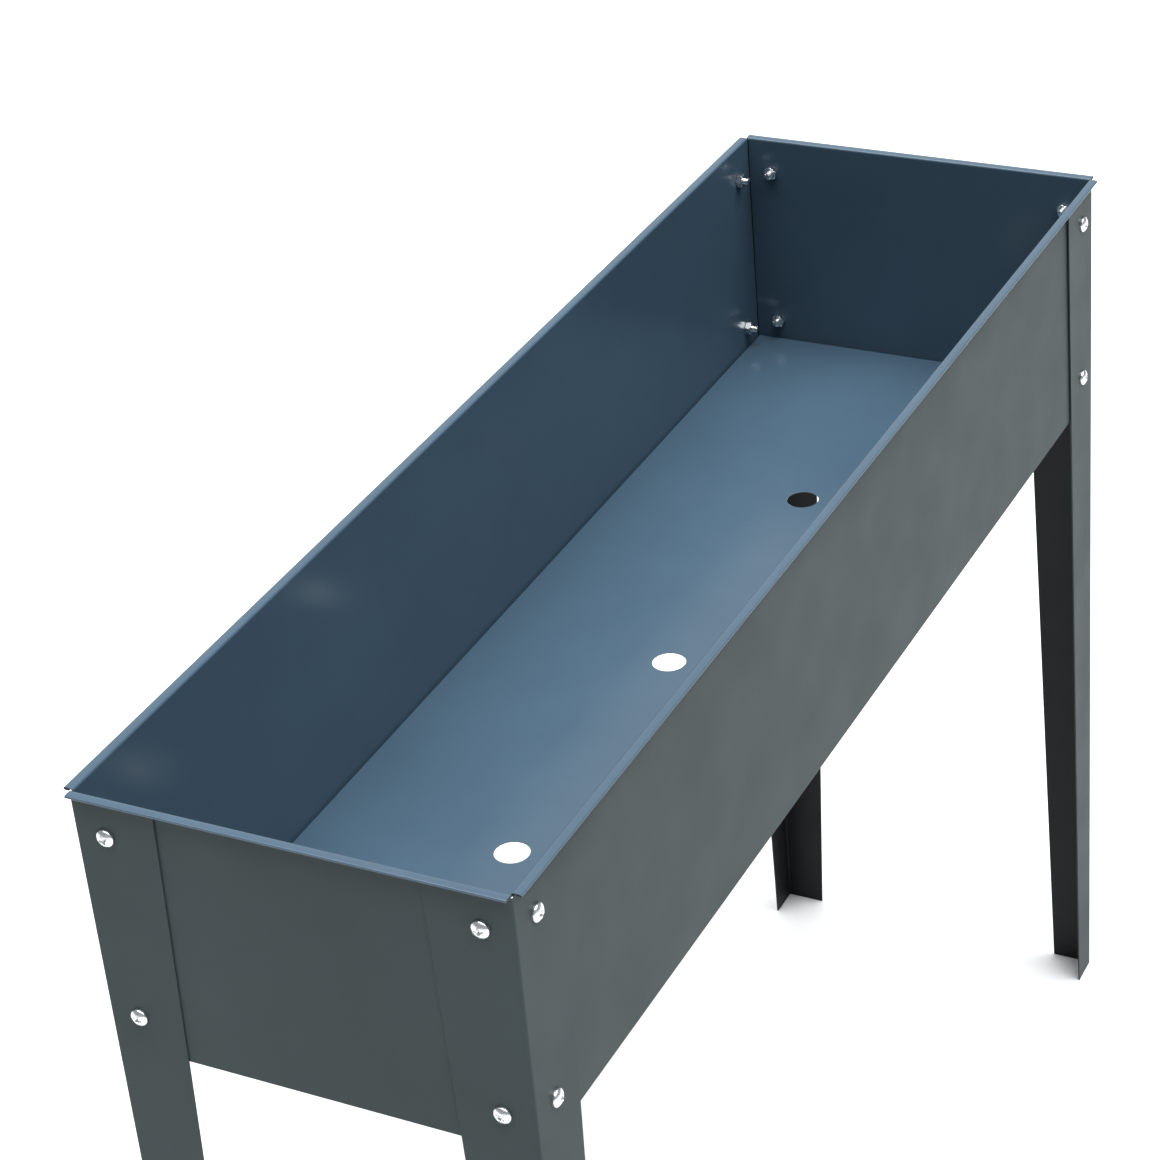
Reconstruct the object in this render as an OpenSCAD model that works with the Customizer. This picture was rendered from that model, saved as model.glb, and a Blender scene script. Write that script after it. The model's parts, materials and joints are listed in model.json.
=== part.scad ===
// Raised planter on legs: a sheet-steel trough bolted to four tapered angle legs.
// The origin is on the ground under the middle of the planter, with the long sides along X.

/* [Trough] */
// Length over the outer faces of the two end panels
body_l = 1010; // [600:5:1400]
// Width over the outer faces of the two side panels
body_w = 300; // [220:2:500]
// Height from the ground to the top of the rim
total_h = 790; // [450:5:950]
// Height of the wall panels
wall_h = 196; // [184:2:300]
// Sheet thickness of the wall panels and the floor tray
panel_t = 0.8; // [0.6:0.1:1.2]
// Inside radius of the bends in the panels and the tray
bend_r = 1; // [0.6:0.1:1]

/* [Rim] */
// How far the rim stands out past the outer face of its panel
rim_w = 6.5; // [6.5:0.5:14]
// Width of the safety hem that is folded back under the rim
hem_w = 4; // [3:0.5:4.5]
// Gap inside the folded hem
hem_gap = 0.4; // [0.2:0.1:0.6]

/* [Floor tray] */
// Height of the tray, whose turned-down edges stand on the ledges
tray_h = 11.5; // [4:0.5:30]
// Width of the ledge at the foot of each wall panel
ledge_w = 13; // [8:1:20]
// Space between the tray and the walls
tray_gap = 1; // [0.5:0.1:1.5]
// Diameter of the drain holes
drain_d = 25; // [10:1:40]
// Distance between neighbouring drain holes
drain_pitch = 250; // [60:5:280]

/* [Legs] */
// Sheet thickness of the legs
leg_t = 1.2; // [1:0.1:2]
// Inside radius of the bend along a leg's corner
leg_bend_r = 0.8; // [0.6:0.1:1]
// Width of both leg flanges at the top
leg_top_w = 60; // [50:1:80]
// Width of the side flange at the ground
foot_side_w = 30; // [20:1:50]
// Width of the end flange at the ground
foot_end_w = 34.5; // [20:0.5:50]
// Gap between the top of the rim and the top of a leg
leg_top_gap = 2; // [2:0.5:4]

/* [Fasteners] */
// Distance of the side flange's screws from the outer corner of the leg
side_screw_inset = 25; // [20:0.5:30]
// Distance of the end flange's screws from the outer corner of the leg
end_screw_inset = 22.5; // [20:0.5:30]
// Distance of the upper screws below the top of the rim
upper_drop = 29; // [20:1:50]
// Distance of the lower screws below the top of the rim
lower_drop = 167; // [120:1:168]
// Thread diameter of the screws
screw_d = 6; // [5:1:6]
// Length of a screw under its head
screw_l = 12; // [10:1:20]
// Diameter of the clearance holes in the sheets
hole_d = 6.6; // [6.4:0.1:7]
// Diameter of the screw head
head_d = 12.4; // [11:0.1:14]
// Height of the screw head
head_h = 4.4; // [3:0.1:5]
// Width of a nut across its flats
nut_af = 10; // [10:0.5:11]
// Height of a nut
nut_h = 5; // [4:0.1:6]

/* [Hidden] */
// Names of the four corners, with the sign of X and of Y at each: front is -Y and left is -X
CORNERS = [["front_left", -1, -1], ["front_right", 1, -1], ["back_left", -1, 1], ["back_right", 1, 1]];
// The four screws of a leg: name, flange, and distance below the rim
SPOTS = [["side_upper", "side", upper_drop], ["side_lower", "side", lower_drop],
         ["end_upper", "end", upper_drop], ["end_lower", "end", lower_drop]];

$fn = 48;
eps = 0.01;
wall_z = total_h - wall_h;               // underside of the ledges
outer_r = bend_r + panel_t;              // outside radius of a panel bend
end_inner_x = body_l / 2 - panel_t;      // inner face of an end panel
side_inner_y = body_w / 2 - panel_t;     // inner face of a side panel
corner_x = body_l / 2 + leg_t;           // outer faces of a leg
corner_y = body_w / 2 + leg_t;
leg_h = total_h - leg_top_gap;
leg_outer_r = leg_bend_r + leg_t;
hem_r = hem_gap / 2;                     // inside radius of the folded hem
seam = 0.8;                              // gap between neighbouring panels at a corner
end_clearance = 0.4;                     // gap between an end panel and the side panels' inner faces
side_l = 2 * (end_inner_x - seam);       // length of a side panel
end_l = 2 * (side_inner_y - end_clearance);
end_rim_l = 2 * (corner_y - seam);       // an end panel's rim reaches past its wall
side_ledge_l = 2 * (end_inner_x - ledge_w - seam);
end_ledge_l = 2 * (side_inner_y - seam);
tray_x = end_inner_x - tray_gap;         // half the length and width of the tray
tray_y = side_inner_y - tray_gap;
floor_z = wall_z + panel_t + tray_h;     // top of the floor
hole_reach = 6;                          // length of the cut that makes a clearance hole
recess_l = 0.55 * head_d;                // length, width and depth of the cross recess
recess_w = 0.1 * head_d;
recess_depth = 0.5 * head_h;
end_chamfer = 0.6;                       // chamfer at the free end of a screw

// Places that what follows, drawn for the back right corner, at the corner with these signs
module at_corner(sx, sy) {
    mirror([sx < 0 ? 1 : 0, 0, 0]) mirror([0, sy < 0 ? 1 : 0, 0]) children();
}

// Puts a screw's axis on a flange of the back right leg: Z points out through the flange,
// and Z = 0 is the flange's outer face
module at_screw(flange, drop) {
    if (flange == "side")
        translate([corner_x - side_screw_inset, corner_y, total_h - drop]) rotate([-90, 0, 0]) children();
    else
        translate([corner_x, corner_y - end_screw_inset, total_h - drop]) rotate([0, 90, 0]) children();
}

// Clearance holes for all the screws of the back right corner, through leg and panel
module screw_holes() {
    for (s = SPOTS) at_screw(s[1], s[2]) cylinder(d = hole_d, h = hole_reach, center = true);
}

// A quarter of a ring in the first quadrant: the section of a bend
module bend(r, t) {
    intersection() {
        difference() {
            circle(r + t);
            circle(r);
        }
        square(r + t);
    }
}

// Sections of a wall panel. X = 0 is its inner face, +X points out of the trough, Y is height.
module wall_section() {
    translate([0, wall_z + outer_r]) square([panel_t, wall_h - 2 * outer_r]);
}

module rim_section() {
    hem_x = rim_w - hem_r;
    hem_y = total_h - panel_t - hem_r;
    hem_start = panel_t + rim_w - hem_w;
    translate([outer_r, total_h - outer_r]) rotate(90) bend(bend_r, panel_t);
    translate([outer_r, total_h - panel_t]) square([hem_x - outer_r, panel_t]);
    translate([hem_x, hem_y]) {
        bend(hem_r, panel_t);
        rotate(-90) bend(hem_r, panel_t);
    }
    translate([hem_start, hem_y - hem_r - panel_t]) square([hem_x - hem_start, panel_t]);
}

module ledge_section() {
    translate([-bend_r, wall_z + outer_r]) rotate(-90) bend(bend_r, panel_t);
    translate([-ledge_w + panel_t, wall_z]) square([ledge_w - panel_t - bend_r, panel_t]);
}

// Section of the tray across one direction, half as wide as given
module tray_section(half_w) {
    translate([-(half_w - outer_r), floor_z - panel_t]) square([2 * (half_w - outer_r), panel_t]);
    for (s = [0, 1]) mirror([s, 0]) {
        translate([half_w - outer_r, floor_z - outer_r]) bend(bend_r, panel_t);
        translate([half_w - panel_t, floor_z - tray_h]) square([panel_t, tray_h - outer_r]);
    }
}

// Extrude a section along X or along Y, centred, with its Y direction as height
module along_x(l) {
    rotate([90, 0, 90]) linear_extrude(l, center = true) children();
}

module along_y(l) {
    rotate([90, 0, 0]) linear_extrude(l, center = true) children();
}

module side_panel(sy) {
    color("dimgray") mirror([0, sy < 0 ? 1 : 0, 0]) difference() {
        translate([0, side_inner_y, 0]) {
            along_x(side_l) wall_section();
            along_x(side_l) rim_section();
            along_x(side_ledge_l) ledge_section();
        }
        for (sx = [-1, 1]) at_corner(sx, 1) screw_holes();
    }
}

module end_panel(sx) {
    color("dimgray") mirror([sx < 0 ? 1 : 0, 0, 0]) difference() {
        translate([end_inner_x, 0, 0]) {
            along_y(end_l) wall_section();
            along_y(end_rim_l) rim_section();
            along_y(end_ledge_l) ledge_section();
        }
        for (sy = [-1, 1]) at_corner(1, sy) screw_holes();
    }
}

module floor_tray() {
    color("slategray") difference() {
        union() {
            along_x(2 * (tray_x - outer_r)) tray_section(tray_y);
            along_y(2 * (tray_y - outer_r)) tray_section(tray_x);
        }
        for (i = [-1, 0, 1])
            translate([i * drain_pitch, 0, floor_z - 2 * panel_t]) cylinder(d = drain_d, h = 3 * panel_t);
    }
}

// Section of a leg at the top, in plan
module leg_section() {
    translate([corner_x - leg_outer_r, corner_y - leg_outer_r]) bend(leg_bend_r, leg_t);
    translate([corner_x - leg_top_w, corner_y - leg_t]) square([leg_top_w - leg_outer_r, leg_t]);
    translate([corner_x - leg_t, corner_y - leg_top_w]) square([leg_t, leg_top_w - leg_outer_r]);
}

// What the taper takes off a flange, from its inner edge at the top to its foot's width
module taper_cut(foot_w) {
    reach = 2 * leg_top_w;
    polygon([[-reach, -1], [-foot_w, -1], [-foot_w, 0], [-leg_top_w, leg_h], [-reach, leg_h]]);
}

module leg(sx, sy) {
    color("dimgray") at_corner(sx, sy) difference() {
        linear_extrude(leg_h) leg_section();
        translate([corner_x, corner_y, 0]) {
            rotate([90, 0, 0]) linear_extrude(3 * leg_t, center = true) taper_cut(foot_side_w);
            rotate([90, 0, 90]) linear_extrude(3 * leg_t, center = true) taper_cut(foot_end_w);
        }
        screw_holes();
    }
}

// Pan head over a shank with a chamfered end, on +Z
module screw() {
    dome_r = head_d * 0.72;
    difference() {
        rotate_extrude() {
            intersection() {
                translate([0, head_h - dome_r]) circle(dome_r);
                square([head_d / 2, head_h]);
            }
            translate([0, -screw_l + end_chamfer]) square([screw_d / 2, screw_l - end_chamfer + eps]);
            polygon([[0, -screw_l], [screw_d / 2 - end_chamfer, -screw_l],
                     [screw_d / 2, -screw_l + end_chamfer], [0, -screw_l + end_chamfer]]);
        }
        for (a = [0, 90]) rotate(a)
            translate([-recess_l / 2, -recess_w / 2, head_h - recess_depth])
                cube([recess_l, recess_w, head_h]);
    }
}

// Hexagon nut with chamfered corners, its foot on the panel's inner face
module nut() {
    corner_d = nut_af / cos(30);
    edge = 0.6;
    translate([0, 0, -leg_t - panel_t - nut_h]) difference() {
        intersection() {
            cylinder(d = corner_d, h = nut_h, $fn = 6);
            rotate_extrude() polygon([[0, 0], [corner_d / 2 - edge, 0], [corner_d / 2, edge],
                                      [corner_d / 2, nut_h - edge], [corner_d / 2 - edge, nut_h], [0, nut_h]]);
        }
        translate([0, 0, -1]) cylinder(d = screw_d + 0.1, h = nut_h + 2);
    }
}

side_panel(-1);  // side_panel_front
side_panel(1);  // side_panel_back
end_panel(-1);  // end_panel_left
end_panel(1);  // end_panel_right
floor_tray();
for (c = CORNERS) {
    leg(c[1], c[2]);
    for (s = SPOTS) {
        color("silver") at_corner(c[1], c[2]) at_screw(s[1], s[2]) screw();
        color("silver") at_corner(c[1], c[2]) at_screw(s[1], s[2]) nut();
    }
}
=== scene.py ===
"""Raised planter on legs: bent and coated sheet steel, bolted together with zinc-plated screws."""
import json
import math

import bmesh
import bpy
from mathutils import Matrix, Vector, noise


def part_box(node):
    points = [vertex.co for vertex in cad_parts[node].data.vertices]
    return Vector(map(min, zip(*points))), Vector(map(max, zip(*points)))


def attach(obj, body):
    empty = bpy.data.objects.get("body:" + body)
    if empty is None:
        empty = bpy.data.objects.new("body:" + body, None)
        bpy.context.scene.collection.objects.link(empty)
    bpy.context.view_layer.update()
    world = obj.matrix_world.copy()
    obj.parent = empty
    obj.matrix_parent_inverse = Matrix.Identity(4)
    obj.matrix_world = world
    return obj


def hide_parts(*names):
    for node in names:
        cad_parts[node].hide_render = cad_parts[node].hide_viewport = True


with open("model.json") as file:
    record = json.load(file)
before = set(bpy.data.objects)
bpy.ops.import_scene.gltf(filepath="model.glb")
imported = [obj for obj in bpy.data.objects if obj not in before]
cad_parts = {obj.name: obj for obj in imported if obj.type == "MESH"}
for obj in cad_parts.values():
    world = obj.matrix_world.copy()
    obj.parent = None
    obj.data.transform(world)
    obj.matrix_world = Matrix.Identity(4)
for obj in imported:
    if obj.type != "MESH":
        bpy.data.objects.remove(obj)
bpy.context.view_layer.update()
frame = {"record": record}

MM = 0.001

# Sheet metal, as in the CAD model
PANEL_T = 0.8 * MM
LEG_T = 1.2 * MM
BEND_R = 1 * MM
LEG_BEND_R = 0.8 * MM
HEM_R = 0.2 * MM
HEM_W = 4 * MM
END_CLEARANCE = 0.4 * MM
FOOT_SIDE_W = 30 * MM
FOOT_END_W = 34.5 * MM
SCREW_HOLE_R = 3.3 * MM

# Screws and nuts: the CAD model's shank and bore, with a thread, a chamfered tip and rounded edges
SHANK_R = 3 * MM
BORE_R = 3.05 * MM
THREAD_PITCH = 1 * MM
THREAD_DEPTH = 0.55 * MM
THREAD_START = 0.3 * MM
THREAD_RUN_OUT = 0.6 * MM
TIP_CHAMFER = 1.1 * MM
TIP_H = 0.6 * MM
HEAD_EDGE = 0.35 * MM
NUT_LEAD = 0.35 * MM
NUT_CHAMFER = math.radians(30)
NUT_EDGE_ROUND = 0.1 * MM
GOLDEN_TURN = 0.381966

# How finely shapes are divided, and the flat patch that holds a hole
STEP = 24 * MM
ARC_STEP = 15
CROWN_PARTS = 8
PATCH = 7 * MM
DRAIN_PATCH = 18 * MM
HOLE_SIDES = 24
DRAIN_SIDES = 64
SCREW_COLUMNS = 24
TURN_RINGS = 8
DOME_RINGS = 9
NUT_COLUMNS = 48

# What makes real sheet metal: rounded cut edges, a slight unevenness, a rim that is not quite flat and
# leg flanges that spring away
EDGE_ROUND = 0.12 * MM
RIPPLE = 0.16 * MM
RIPPLE_FADE = 60 * MM
CROWN = 0.16 * MM
SIDE_SPRING = 0.9 * MM
END_SPRING = 0.1 * MM

# Which material of a sheet goes where: its first face, its second face with the cut edges, and a cut
# edge that is left bare
FIRST, SECOND, BARE = 0, 1, 2

CORNERS = {"front_left": (-1, -1), "front_right": (1, -1), "back_left": (-1, 1), "back_right": (1, 1)}

# The planter's main sizes, read from the frame
side_low, side_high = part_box("side_panel_back")
end_low, end_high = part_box("end_panel_right")
tray_low, tray_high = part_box("floor_tray")
leg_low, leg_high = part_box("leg_back_right")
TOP = side_high.z
WALL_Z = side_low.z
CORNER = Vector((leg_high.x, leg_high.y))
LEG_TOP = leg_high.z
LEG_W = leg_high.x - leg_low.x
SIDE_FACE = CORNER.y - LEG_T - PANEL_T
END_FACE = CORNER.x - LEG_T - PANEL_T
SIDE_HALF = side_high.x
END_RIM_HALF = end_high.y
END_HALF = SIDE_FACE - END_CLEARANCE
RIM_OUT = side_high.y - SIDE_FACE
LEDGE_IN = SIDE_FACE - side_low.y
SEAM = END_FACE - SIDE_HALF
DRAINS = [m for m in frame["record"]["mounts"] if m["kind"] == "bore"]


# ---------------------------------------------------------------- bent sheets


def spread(start, end, step, stops=(), holes=(), patch=PATCH):
    """Values from start to end, through each stop and no more than step apart. Each hole lies in the
    middle of a cell of its own, which reaches patch to either side."""
    edges = [h + s * patch for h in holes for s in (-1, 1)]
    marks = sorted({start, end, *(s for s in [*stops, *edges] if start < s < end)})
    values = [start]
    for a, b in zip(marks, marks[1:]):
        parts = 1 if any(a < h < b for h in holes) else math.ceil((b - a) / step - 1e-6)
        values += [a + (b - a) * k / parts for k in range(1, parts + 1)]
    return values


def arc(x, z, radius, start, end, side):
    """A section's points on an arc from degrees start to end. side is 1 where the sheet lies outside
    the arc and -1 where it lies inside. Each point is (x, z, and the direction through the sheet)."""
    points = []
    parts = round(abs(end - start) / ARC_STEP)
    for k in range(parts + 1):
        a = math.radians(start + (end - start) * k / parts)
        c, s = math.cos(a), math.sin(a)
        points.append((x + radius * c, z + radius * s, side * c, side * s))
    return points


def punched(corners, radius, sides):
    """Triangles of a flat patch with a round hole. Each corner is a pair of points, one on each face."""
    faces = []
    loop = []
    middle = [sum((c[f].co for c in corners), Vector()) / 4 for f in (0, 1)]
    across = (corners[1][0].co - corners[0][0].co).normalized()
    along = (corners[3][0].co - corners[0][0].co).normalized()
    for k in range(sides):
        a = math.tau * k / sides
        off = across * (radius * math.cos(a)) + along * (radius * math.sin(a))
        loop.append((middle[0] + off, middle[1] + off))
    quarter = sides // 4
    outer = [corners[2], corners[3], corners[0], corners[1]]
    for k in range(sides):
        corner = outer[k // quarter]
        if k % quarter == 0:
            faces.append([k, outer[k // quarter - 1], corner])
        faces.append([k, corner, (k + 1) % sides])
    return loop, faces


def bent_sheet(size, place, thick, keep, holes, sides=HOLE_SIDES):
    """A closed mesh of a bent sheet. place(i, j) gives a point of its first face and the direction
    through the sheet, keep(i, j) says whether that cell is there, and holes maps cells to radii."""
    bm = bmesh.new()
    grid = {}
    twin = {}

    def pair(i, j):
        if (i, j) not in grid:
            point, through = place(i, j)
            grid[i, j] = (bm.verts.new(point), bm.verts.new(point + through * thick))
        return grid[i, j]

    def face(ring):
        bm.faces.new([first for first, _ in ring]).material_index = FIRST
        bm.faces.new([second for _, second in reversed(ring)]).material_index = SECOND
        twin.update(ring)

    for i in range(size[0] - 1):
        for j in range(size[1] - 1):
            if not keep(i, j):
                continue
            corners = [pair(i, j), pair(i + 1, j), pair(i + 1, j + 1), pair(i, j + 1)]
            if (i, j) not in holes:
                face(corners)
                continue
            loop, triangles = punched(corners, holes[i, j], sides)
            loop = [(bm.verts.new(a), bm.verts.new(b)) for a, b in loop]
            for triangle in triangles:
                face([loop[p] if isinstance(p, int) else p for p in triangle])
    for edge in [e for e in bm.edges if e.is_boundary and e.verts[0] in twin and e.verts[1] in twin]:
        a, b = edge.verts
        bm.faces.new((a, b, twin[b], twin[a])).material_index = SECOND
    return finished(bm)


def finished(bm):
    """The mesh of bm, shaded smooth, with all its faces turned outwards."""
    bmesh.ops.recalc_face_normals(bm, faces=bm.faces)
    mesh = bpy.data.meshes.new("made")
    bm.to_mesh(mesh)
    bm.free()
    mesh.shade_smooth()
    return mesh


def cell_at(marks, value):
    """The index of the cell of marks that holds value."""
    return next(i for i in range(len(marks) - 1) if marks[i] < value < marks[i + 1])


def ripple(u, v, edge, seed):
    """How far a thin sheet is out of flat at u, v. It fades out towards an edge that is edge away."""
    fade = min(1, max(0, edge / RIPPLE_FADE))
    bumps = noise.noise(Vector((u * 5, v * 11, seed))) + 0.35 * noise.noise(Vector((u * 17, v * 23, seed)))
    return RIPPLE * fade * fade * bumps


def panel_section(heights):
    """The coated inner face of a panel's section, from the ledge over the wall to the hem. Each entry
    is (distance out, height, direction through the sheet, the part that the next cell belongs to)."""
    outer_r = BEND_R + PANEL_T
    hem_x = RIM_OUT - PANEL_T - HEM_R
    hem_z = TOP - PANEL_T - HEM_R
    ledge = [(-LEDGE_IN, WALL_Z + PANEL_T, 0, -1)] + arc(-BEND_R, WALL_Z + outer_r, BEND_R, -90, 0, 1)
    wall = [(0, z, 1, 0) for z in heights]
    rim = arc(outer_r, TOP - outer_r - CROWN, outer_r, 180, 90, -1)
    for k in range(1, CROWN_PARTS):
        off = 2 * k / CROWN_PARTS - 1
        rim.append((outer_r + (hem_x - outer_r) * k / CROWN_PARTS, TOP - CROWN * off * off, 0, -1))
    rim += arc(hem_x, hem_z - CROWN, HEM_R + PANEL_T, 90, -90, -1)
    rim.append((RIM_OUT - HEM_W, hem_z - CROWN - HEM_R - PANEL_T, 0, 1))
    section = [(*p, "ledge") for p in ledge[:-1]] + [(*p, "wall") for p in wall[:-1]]
    return section + [(*p, "rim") for p in rim]


def panel(halves, face, out, along, holes, seed):
    """A wall panel with its ledge and hemmed rim. halves are half the lengths of its ledge, wall and
    rim, face is its inner face's distance from the middle, and holes are (along, height)."""
    stops = [s * h for s in (-1, 1) for h in halves.values()]
    longest = max(halves.values())
    us = spread(-longest, longest, STEP, stops, {u for u, _ in holes})
    outer_r = BEND_R + PANEL_T
    heights = spread(WALL_Z + outer_r, TOP - outer_r - CROWN, STEP, (), {z for _, z in holes})
    section = panel_section(heights)
    first_wall = len(section) - len([p for p in section if p[4] != "ledge"])

    def place(i, j):
        x, z, through_x, through_z, part = section[j]
        if part == "wall":
            edge = min(z - WALL_Z, TOP - z, longest - LEG_W - abs(us[i]))
            x += ripple(us[i], z, edge, seed)
        point = out * (face + x) + along * us[i] + Vector((0, 0, z))
        return point, out * through_x + Vector((0, 0, through_z))

    def keep(i, j):
        return abs(us[i] + us[i + 1]) / 2 < halves[section[j][4]]

    cells = {(cell_at(us, u), first_wall + cell_at(heights, z)): SCREW_HOLE_R for u, z in holes}
    return bent_sheet((len(us), len(section)), place, PANEL_T, keep, cells)


def tray_section(half, holes):
    """The top face of the tray's section along one axis: its two turned-down edges and the flat
    between them, as (left, middle, right)."""
    outer_r = BEND_R + PANEL_T
    flat = half - outer_r
    bend_z = tray_high.z - outer_r
    left = [(-half, tray_low.z, 1, 0)] + arc(-flat, bend_z, outer_r, 180, 90, -1)
    right = arc(flat, bend_z, outer_r, 90, 0, -1) + [(half, tray_low.z, -1, 0)]
    middle = [(x, tray_high.z, 0, -1) for x in spread(-flat, flat, STEP, (), holes, DRAIN_PATCH)[1:-1]]
    return left, middle, right


def tray():
    """The floor tray, with its drain holes."""
    sections = [tray_section(tray_high[k], {m["pos_m"][k] for m in DRAINS}) for k in (0, 1)]
    xs, ys = [left + middle + right for left, middle, right in sections]
    flap = len(sections[0][0]) - 1

    def bent(k, points):
        return k < flap or k > len(points) - 1 - flap

    def place(i, j):
        x, z_of_x, x_through, z_through_of_x = xs[i]
        y, z_of_y, y_through, z_through_of_y = ys[j]
        if bent(j, ys):
            return Vector((x, y, z_of_y)), Vector((0, y_through, z_through_of_y))
        if bent(i, xs):
            return Vector((x, y, z_of_x)), Vector((x_through, 0, z_through_of_x))
        edge = min(tray_high.x - abs(x), tray_high.y - abs(y))
        return Vector((x, y, z_of_x + ripple(x, y, edge, 7))), Vector((0, 0, -1))

    def keep(i, j):
        middle_i = flap <= i < len(xs) - 1 - flap
        middle_j = flap <= j < len(ys) - 1 - flap
        return middle_i or middle_j

    cells = {}
    for m in DRAINS:
        cell = (cell_at([p[0] for p in xs], m["pos_m"][0]), cell_at([p[0] for p in ys], m["pos_m"][1]))
        cells[cell] = m["dims"]["r_mm"] * MM
    return bent_sheet((len(xs), len(ys)), place, PANEL_T, keep, cells, DRAIN_SIDES)


def leg(sx, sy, side_holes, end_holes):
    """A tapered angle leg with a bare cut edge at its top. The holes are (distance from the corner,
    height) in each flange."""
    outer_r = LEG_BEND_R + LEG_T
    zs = spread(0, LEG_TOP, 2 * STEP, [WALL_Z], {z for _, z in side_holes})
    side_marks = spread(outer_r, LEG_W, STEP / 2, (), {d for d, _ in side_holes})
    end_marks = spread(outer_r, LEG_W, STEP / 2, (), {d for d, _ in end_holes})
    bend = arc(0, 0, LEG_BEND_R, 90, 0, 1)
    section = [("side", d) for d in reversed(side_marks[1:])]
    section += [("bend", p) for p in bend]
    section += [("end", d) for d in end_marks[1:]]

    def across(d, z, foot_w):
        """Where the line that is d from the corner at the top lies at height z, on a tapered flange."""
        width = foot_w + (LEG_W - foot_w) * z / LEG_TOP
        if z >= WALL_Z:
            return width if d == LEG_W else min(d, width)
        knee = foot_w + (LEG_W - foot_w) * WALL_Z / LEG_TOP
        at_knee = knee if d == LEG_W else min(d, knee)
        return outer_r + (at_knee - outer_r) * (width - outer_r) / (knee - outer_r)

    def sprung(d, spring):
        free = max(0, d - side_marks[2]) / (LEG_W - side_marks[2])
        return spring * free * free

    def place(i, j):
        z = zs[i]
        kind, d = section[j]
        if kind == "bend":
            x = CORNER.x - outer_r + d[0]
            y = CORNER.y - outer_r + d[1]
            through = Vector((d[2], d[3], 0))
        elif kind == "side":
            d = across(d, z, FOOT_SIDE_W)
            x, y, through = CORNER.x - d, CORNER.y - LEG_T + sprung(d, SIDE_SPRING), Vector((0, 1, 0))
        else:
            d = across(d, z, FOOT_END_W)
            x, y, through = CORNER.x - LEG_T + sprung(d, END_SPRING), CORNER.y - d, Vector((1, 0, 0))
        return Vector((sx * x, sy * y, z)), Vector((sx * through.x, sy * through.y, 0))

    cells = {}
    first_end = len(side_marks) - 1 + len(bend) - 1
    for d, z in side_holes:
        cells[cell_at(zs, z), len(side_marks) - 2 - cell_at(side_marks, d)] = SCREW_HOLE_R
    for d, z in end_holes:
        cells[cell_at(zs, z), first_end + cell_at(end_marks, d)] = SCREW_HOLE_R
    mesh = bent_sheet((len(zs), len(section)), place, LEG_T, lambda i, j: True, cells)
    for face in mesh.polygons:
        if all(mesh.vertices[v].co.z > LEG_TOP - 0.01 * MM for v in face.vertices):
            face.material_index = BARE
    return mesh


# ---------------------------------------------------------------- screws and nuts


def turned(rings, columns, closed):
    """A bmesh of rings of (radius, height), each a number or a function of the angle. Where closed, the
    last ring joins the first, as in a nut, and otherwise a flat face closes each end."""
    bm = bmesh.new()
    made = []
    for radius, height in rings:
        row = []
        for k in range(columns):
            a = math.tau * k / columns
            r = radius(a) if callable(radius) else radius
            z = height(a) if callable(height) else height
            row.append(bm.verts.new((r * math.cos(a), r * math.sin(a), z)))
        made.append(row)
    rows = list(zip(made, made[1:] + made[:1])) if closed else list(zip(made, made[1:]))
    for low, high in rows:
        for k in range(columns):
            m = (k + 1) % columns
            bm.faces.new((low[k], low[m], high[m], high[k]))
    if not closed:
        bm.faces.new(made[0])
        bm.faces.new(made[-1])
    return bm


def thread_radius(z):
    """The screw's radius round a circle at height z, with a helical groove that runs out under the
    head."""
    run_out = min(1, max(0, -z - THREAD_START) / THREAD_RUN_OUT)

    def radius(a):
        turn = (z / THREAD_PITCH - a / math.tau) % 1
        groove = max(0, 1 - abs(turn - 0.5) / 0.42)
        return SHANK_R - THREAD_DEPTH * run_out * min(1, groove * 1.15)

    return radius


def screw(head_r, head_h, length):
    """A pan-head screw along Z: its head sits on Z = 0 and its thread runs down to -length."""
    rings = [(SHANK_R - TIP_CHAMFER, -length)]
    steps = round((length - TIP_H) / THREAD_PITCH * TURN_RINGS)
    for k in range(steps + 1):
        z = -length + TIP_H + (length - TIP_H) * k / steps
        rings.append((thread_radius(z), z))
    dome_r = 1.44 * head_r
    rim_h = head_h - dome_r + math.sqrt(dome_r * dome_r - head_r * head_r)
    rings += [(head_r - HEAD_EDGE / 2, 0), (head_r, HEAD_EDGE / 2), (head_r, rim_h - HEAD_EDGE)]
    rings.append((head_r - HEAD_EDGE / 4, rim_h - HEAD_EDGE / 4))
    start = math.asin((head_r - HEAD_EDGE) / dome_r)
    for k in range(DOME_RINGS):
        a = start * (1 - k / DOME_RINGS)
        rings.append((dome_r * math.sin(a), head_h - dome_r + dome_r * math.cos(a)))
    body = solid("blank", turned(rings, SCREW_COLUMNS, False))
    return carved(body, solid("recess", cross(head_r, head_h)))


def cross(head_r, head_h):
    """The tapered cross recess of a screw, as a solid that is cut out of its head. Each level gives an
    arm's reach, half its width, where its inner corner lies and its height above the head's top."""
    levels = [
        (0.62, 0.115, 0.23, 0.6 * MM),
        (0.5, 0.085, 0.17, -0.3 * head_h),
        (0.22, 0.06, 0.1, -0.55 * head_h),
    ]
    bm = bmesh.new()
    rows = []
    for reach, half, inner, above in levels:
        row = []
        for k in range(4):
            turn = Matrix.Rotation(k * math.pi / 2, 3, "Z")
            for x, y in ((reach, -half), (reach, half), (inner, inner)):
                row.append(bm.verts.new(turn @ Vector((x * head_r, y * head_r, head_h + above))))
        rows.append(row)
    for low, high in zip(rows, rows[1:]):
        for k in range(12):
            m = (k + 1) % 12
            bm.faces.new((low[k], low[m], high[m], high[k]))
    bm.faces.new(rows[0])
    bm.faces.new(rows[-1])
    return bm


def solid(name, bm):
    """A scene object of bm, to be carved with."""
    made = bpy.data.objects.new(name, finished(bm))
    bpy.context.scene.collection.objects.link(made)
    return made


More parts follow.
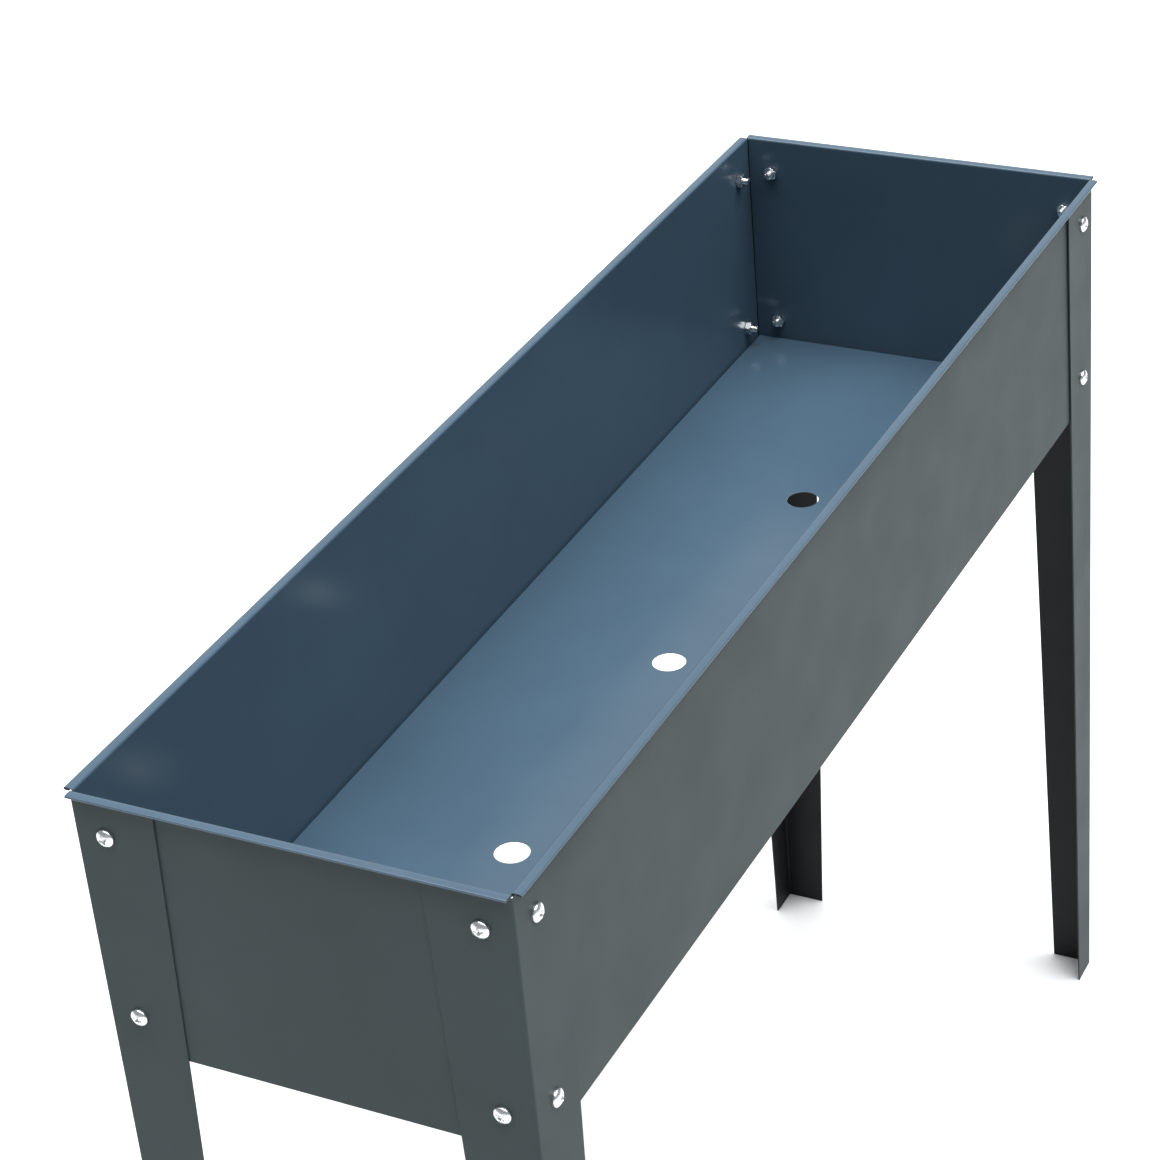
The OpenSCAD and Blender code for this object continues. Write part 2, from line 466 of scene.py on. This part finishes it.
def carved(body, cutter):
    """The mesh of body with cutter taken out of it. Both objects are used up."""
    cut = body.modifiers.new("cut", "BOOLEAN")
    cut.operation = "DIFFERENCE"
    cut.solver = "EXACT"
    cut.object = cutter
    depsgraph = bpy.context.evaluated_depsgraph_get()
    mesh = bpy.data.meshes.new_from_object(body.evaluated_get(depsgraph))
    for used in (body, cutter):
        bpy.data.objects.remove(used)
    return mesh


def nut(flats, height):
    """A hexagon nut along Z from -height to 0, with chamfered corners and bore."""
    apothem = flats / 2
    circle_r = 0.95 * apothem
    slope = math.tan(NUT_CHAMFER)

    def hexagon(a):
        return apothem / math.cos((a + math.pi / 6) % (math.pi / 3) - math.pi / 6)

    def top(a):
        return -(hexagon(a) - circle_r) * slope

    def bottom(a):
        return -height + (hexagon(a) - circle_r) * slope

    mouth_r = BORE_R + NUT_LEAD
    rings = [(BORE_R, -height + NUT_LEAD), (mouth_r, -height), (circle_r, -height), (hexagon, bottom)]
    rings += [(hexagon, top), (circle_r, 0), (mouth_r, 0), (BORE_R, -NUT_LEAD)]
    return finished(turned(rings, NUT_COLUMNS, True))


# ---------------------------------------------------------------- materials


class Nodes:
    """Short hands for building a material's nodes."""

    def __init__(self, name):
        self.material = bpy.data.materials.new(name)
        self.material.use_nodes = True
        self.tree = self.material.node_tree
        self.shader = self.tree.nodes["Principled BSDF"]
        self.place = self.tree.nodes.new("ShaderNodeTexCoord").outputs["Object"]

    def noise(self, scale, detail):
        """Noise from 0 to 1, with scale in repeats for each metre."""
        made = self.tree.nodes.new("ShaderNodeTexNoise")
        made.inputs["Scale"].default_value = scale
        made.inputs["Detail"].default_value = detail
        made.inputs["Roughness"].default_value = 0.5
        self.tree.links.new(self.place, made.inputs["Vector"])
        return made.outputs["Fac"]

    def ramp(self, value, low, high, dark, light):
        """Takes value's range from low to high onto dark to light, two numbers or two colours."""
        if isinstance(dark, tuple):
            made = self.tree.nodes.new("ShaderNodeValToRGB")
            made.color_ramp.elements[0].position = low
            made.color_ramp.elements[1].position = high
            made.color_ramp.elements[0].color = (*dark, 1)
            made.color_ramp.elements[1].color = (*light, 1)
            self.tree.links.new(value, made.inputs["Fac"])
            return made.outputs["Color"]
        made = self.tree.nodes.new("ShaderNodeMapRange")
        for name, number in (("From Min", low), ("From Max", high), ("To Min", dark), ("To Max", light)):
            made.inputs[name].default_value = number
        self.tree.links.new(value, made.inputs["Value"])
        return made.outputs["Result"]

    def add(self, first, second, share):
        """first plus share of second."""
        made = self.tree.nodes.new("ShaderNodeMath")
        made.operation = "MULTIPLY_ADD"
        made.inputs[1].default_value = share
        self.tree.links.new(second, made.inputs[0])
        self.tree.links.new(first, made.inputs[2])
        return made.outputs["Value"]

    def bump(self, height, distance, strength):
        """Bumps on the shader, up to distance high in metres."""
        made = self.tree.nodes.new("ShaderNodeBump")
        made.inputs["Distance"].default_value = distance
        made.inputs["Strength"].default_value = strength
        self.tree.links.new(height, made.inputs["Height"])
        self.tree.links.new(made.outputs["Normal"], self.shader.inputs["Normal"])

    def into(self, socket, output):
        """Leads output into that socket of the shader."""
        self.tree.links.new(output, self.shader.inputs[socket])


def tint(colour, share):
    """colour, lighter by share."""
    return tuple(c * (1 + share) for c in colour)


def powder_coat(name, colour, rough, gloss):
    """Powder coat: a fine orange peel, faint mottling and uneven roughness."""
    made = Nodes(name)
    mottle = made.add(made.noise(9, 3), made.noise(260, 2), 0.25)
    made.into("Base Color", made.ramp(mottle, 0.35, 0.9, tint(colour, -0.07), tint(colour, 0.07)))
    made.into("Roughness", made.ramp(made.noise(22, 4), 0.3, 0.7, rough - 0.03, rough + 0.04))
    made.shader.inputs["Specular IOR Level"].default_value = gloss
    made.bump(made.noise(620, 2), 0.006 * MM, 0.2)
    return made.material


def zinc_plate(name):
    """Bright zinc plate, slightly clouded and finely pitted."""
    made = Nodes(name)
    cloud = made.noise(420, 3)
    made.into("Base Color", made.ramp(cloud, 0.3, 0.75, (0.66, 0.69, 0.71), (0.86, 0.88, 0.88)))
    made.into("Roughness", made.ramp(made.noise(900, 3), 0.3, 0.7, 0.18, 0.34))
    made.shader.inputs["Metallic"].default_value = 1.0
    made.bump(made.noise(2600, 2), 0.004 * MM, 0.5)
    return made.material


INSIDE_COAT = powder_coat("slate_blue_coat", (0.0385, 0.068, 0.0985), 0.2, 0.38)
OUTSIDE_COAT = powder_coat("anthracite_coat", (0.0345, 0.0465, 0.049), 0.5, 0.09)
# A much darker copy of the anthracite coat for the legs' inner faces: painted shade, standing in for the
# shade that falls under the trough.
LEG_PAINTED_SHADE_COAT = powder_coat("anthracite_coat_painted_shade", (0.0058, 0.0066, 0.0074), 0.5, 0.18)
ZINC = zinc_plate("zinc_plate")


# ---------------------------------------------------------------- pieces


def finish_piece(node, mesh, materials):
    """Puts a piece into the scene in place of a CAD node and materials."""
    mesh.name = f"{node}_mesh"
    piece = bpy.data.objects.new(f"{node}_piece", mesh)
    bpy.context.scene.collection.objects.link(piece)
    for material in materials:
        mesh.materials.append(material)
    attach(piece, "root")
    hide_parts(node)
    return piece


def soften(piece, width, angle):
    """Rounds edges sharper than angle in degrees, and keeps flat faces flat in the shading."""
    bevel = piece.modifiers.new("rounded edges", "BEVEL")
    bevel.width = width
    bevel.segments = 2
    bevel.limit_method = "ANGLE"
    bevel.angle_limit = math.radians(angle)
    bevel.use_clamp_overlap = False
    normals = piece.modifiers.new("even normals", "WEIGHTED_NORMAL")
    normals.keep_sharp = True


def sheet_piece(node, mesh, materials):
    """A piece of sheet metal, with its cut edges rounded."""
    soften(finish_piece(node, mesh, materials), EDGE_ROUND, 50)


def screw_places():
    """For each screw: its corner, its spot, the foot of its head, its outward axis, the head's height,
    the length below the head and the head's radius."""
    places = []
    for corner, signs in CORNERS.items():
        for spot in ("side_upper", "side_lower", "end_upper", "end_lower"):
            low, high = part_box(f"screw_{corner}_{spot}")
            axis = 1 if spot.startswith("side") else 0
            out = Vector((0, 0, 0))
            out[axis] = signs[axis]
            foot = (low + high) / 2
            foot[axis] = signs[axis] * CORNER[axis]
            head_h = max(abs(low[axis]), abs(high[axis])) - CORNER[axis]
            length = high[axis] - low[axis] - head_h
            places.append((corner, spot, foot, out, head_h, length, (high.z - low.z) / 2))
    return places


SCREWS = screw_places()


def holes_of(corners, flange, axis):
    """The screw holes at these corners in that flange, as (place along axis, height)."""
    screws = [s for s in SCREWS if s[0] in corners and flange in s[1]]
    return [(foot[axis], foot.z) for _, _, foot, *_ in screws]


def make_panels():
    """The two side panels and the two end panels."""
    for name, sy in (("side_panel_front", -1), ("side_panel_back", 1)):
        holes = holes_of([c for c, signs in CORNERS.items() if signs[1] == sy], "side", 0)
        halves = {"ledge": SIDE_HALF - LEDGE_IN - PANEL_T, "wall": SIDE_HALF, "rim": SIDE_HALF}
        mesh = panel(halves, SIDE_FACE, Vector((0, sy, 0)), Vector((1, 0, 0)), holes, 11 + sy)
        sheet_piece(name, mesh, [INSIDE_COAT, OUTSIDE_COAT])
    for name, sx in (("end_panel_left", -1), ("end_panel_right", 1)):
        holes = holes_of([c for c, signs in CORNERS.items() if signs[0] == sx], "end", 1)
        halves = {"ledge": SIDE_FACE - SEAM, "wall": END_HALF, "rim": END_RIM_HALF}
        mesh = panel(halves, END_FACE, Vector((sx, 0, 0)), Vector((0, 1, 0)), holes, 21 + sx)
        sheet_piece(name, mesh, [INSIDE_COAT, OUTSIDE_COAT])


def make_tray():
    """The floor tray, which has the inside coat on both faces."""
    sheet_piece("floor_tray", tray(), [INSIDE_COAT, INSIDE_COAT])


def make_legs():
    """The four legs, each with its holes where its screws are."""
    for corner, (sx, sy) in CORNERS.items():
        side_holes = [(CORNER.x - abs(x), z) for x, z in holes_of([corner], "side", 0)]
        end_holes = [(CORNER.y - abs(y), z) for y, z in holes_of([corner], "end", 1)]
        mesh = leg(sx, sy, side_holes, end_holes)
        # The legs' inner faces take the darker copy of the anthracite coat, which is painted shade; the
        # outer faces and cut edges take the anthracite coat and the top edge is bare zinc.
        sheet_piece(f"leg_{corner}", mesh, [LEG_PAINTED_SHADE_COAT, OUTSIDE_COAT, ZINC])


def make_fasteners():
    """The screws and their nuts, each pair turned a different way."""
    *_, head_h, length, head_r = SCREWS[0]
    screw_mesh = screw(head_r, head_h, length)
    nut_low, nut_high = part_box("nut_back_right_side_upper")
    nut_mesh = nut(nut_high.z - nut_low.z, nut_high.y - nut_low.y)
    for number, (corner, spot, foot, out, *_) in enumerate(SCREWS):
        stand = out.to_track_quat("Z", "Y").to_matrix().to_4x4()
        turn = Matrix.Rotation(math.tau * (GOLDEN_TURN * number % 1), 4, "Z")
        behind = foot - out * (LEG_T + PANEL_T)
        for kind, base, at in (("screw", screw_mesh, foot), ("nut", nut_mesh, behind)):
            mesh = base.copy()
            mesh.transform(Matrix.Translation(at) @ stand @ turn)
            piece = finish_piece(f"{kind}_{corner}_{spot}", mesh, [ZINC])
            if kind == "nut":
                soften(piece, NUT_EDGE_ROUND, 25)
            else:
                mesh.set_sharp_from_angle(angle=math.radians(40))


# ---------------------------------------------------------------- camera, floor and light


CAMERA_AT = (-1.7543, -0.9093, 1.8692)
CAMERA_AZIMUTH = -60.883
CAMERA_ELEVATION = 30.995
CAMERA_ROLL = -5.321
FOCAL_LENGTH = 99.56
SENSOR_WIDTH = 36
FLOOR_HALF = 14
LIGHT_COLOUR = (0.98, 0.99, 1.0)
SURROUND_COLOUR = (0.94, 0.98, 1.0, 1)


def make_camera():
    """The photograph's view: a long lens from above the near left corner, tilted a little."""
    azimuth, elevation, roll = (math.radians(a) for a in (CAMERA_AZIMUTH, CAMERA_ELEVATION, CAMERA_ROLL))
    level = math.cos(elevation)
    back = Vector((math.sin(azimuth) * level, -math.cos(azimuth) * level, math.sin(elevation)))
    right = Vector((math.cos(azimuth), math.sin(azimuth), 0))
    up = back.cross(right)
    tilted_right = right * math.cos(roll) + up * math.sin(roll)
    tilted_up = up * math.cos(roll) - right * math.sin(roll)
    data = bpy.data.cameras.new("camera")
    data.sensor_width = SENSOR_WIDTH
    data.lens = FOCAL_LENGTH
    camera = bpy.data.objects.new("camera", data)
    axes = Matrix((tilted_right, tilted_up, back)).transposed()
    camera.matrix_world = Matrix.Translation(CAMERA_AT) @ axes.to_4x4()
    bpy.context.scene.collection.objects.link(camera)
    bpy.context.scene.camera = camera


def make_floor():
    """A plain pale floor, far wider than the view."""
    bm = bmesh.new()
    corners = [(-1, -1), (1, -1), (1, 1), (-1, 1)]
    bm.faces.new([bm.verts.new((x * FLOOR_HALF, y * FLOOR_HALF, 0)) for x, y in corners])
    mesh = bpy.data.meshes.new("floor")
    bm.to_mesh(mesh)
    bm.free()
    floor = bpy.data.objects.new("floor", mesh)
    made = Nodes("pale_floor")
    made.into("Base Color", made.ramp(made.noise(3, 2), 0.3, 0.7, (0.60, 0.60, 0.60), (0.62, 0.62, 0.62)))
    made.shader.inputs["Roughness"].default_value = 0.9
    made.shader.inputs["Specular IOR Level"].default_value = 0.1
    mesh.materials.append(made.material)
    bpy.context.scene.collection.objects.link(floor)


def broad_light(name, towards, width, strength):
    """A light as wide as that angle in degrees, far off in that direction."""
    data = bpy.data.lights.new(name, "SUN")
    data.angle = math.radians(width)
    data.energy = strength
    data.color = LIGHT_COLOUR
    light = bpy.data.objects.new(name, data)
    light.location = Vector(towards) * 4
    light.rotation_mode = "QUATERNION"
    light.rotation_quaternion = Vector(towards).to_track_quat("Z", "Y")
    bpy.context.scene.collection.objects.link(light)


def make_light():
    """Soft studio light: a pale surround, a broad light overhead, a weaker one to the front of it and
    a weak low one beyond the far right corner, which brings out the rims."""
    world = bpy.data.worlds.new("surround")
    world.use_nodes = True
    background = world.node_tree.nodes["Background"]
    background.inputs["Color"].default_value = SURROUND_COLOUR
    background.inputs["Strength"].default_value = 0.33
    bpy.context.scene.world = world
    broad_light("overhead", (0, 0, 1), 65, 6.3)
    broad_light("front", (0, -0.5, 0.87), 45, 2.2)
    broad_light("rim", (0.75, 0.416, 0.515), 60, 0.5)


def make_view():
    """Colours as they are, with no film look."""
    bpy.context.scene.view_settings.view_transform = "Standard"


make_camera()
make_floor()
make_light()
make_view()
make_panels()
make_tray()
make_legs()
make_fasteners()
